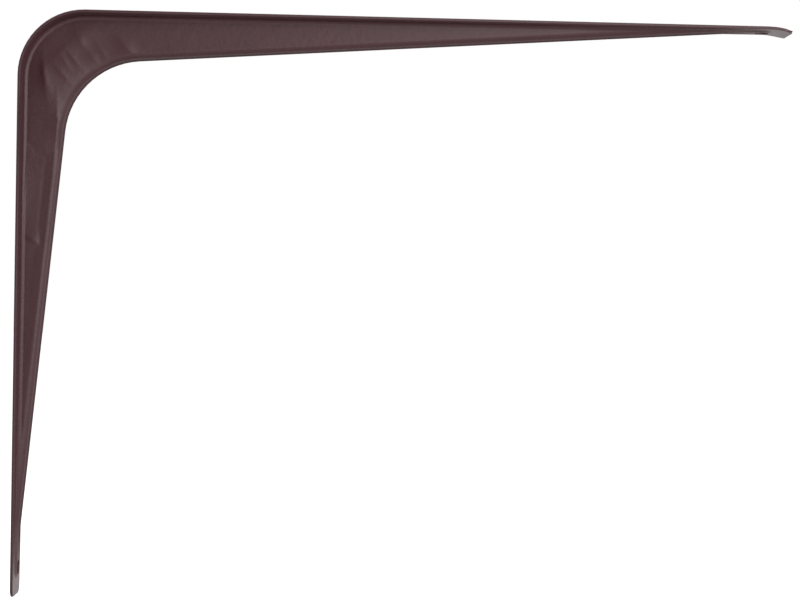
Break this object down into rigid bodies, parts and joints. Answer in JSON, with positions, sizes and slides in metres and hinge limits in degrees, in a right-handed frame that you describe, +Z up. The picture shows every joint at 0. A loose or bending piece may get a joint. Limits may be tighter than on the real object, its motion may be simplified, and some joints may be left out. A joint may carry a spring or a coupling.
{
  "type": "shelf bracket",
  "caption": "Pressed sheet-steel angle bracket with a hollow stiffening rib, screwed to a wall to carry a shelf.",
  "frame": {"origin": "the outer corner, where the plane of the wall meets the underside of the shelf, in the middle of the flange's width", "axes": "+X from the wall along the shelf arm, +Y across the flange, +Z up, with the wall at X = 0 and the shelf lying on Z = 0"},
  "size_m": [0.2, 0.0212, 0.1515],
  "materials": {
    "powder_coated_steel": "dark brown satin powder coat with a fine orange peel"
  },
  "bodies": {
    "root": {"bracket": "powder_coated_steel"}
  },
  "joints": []
}
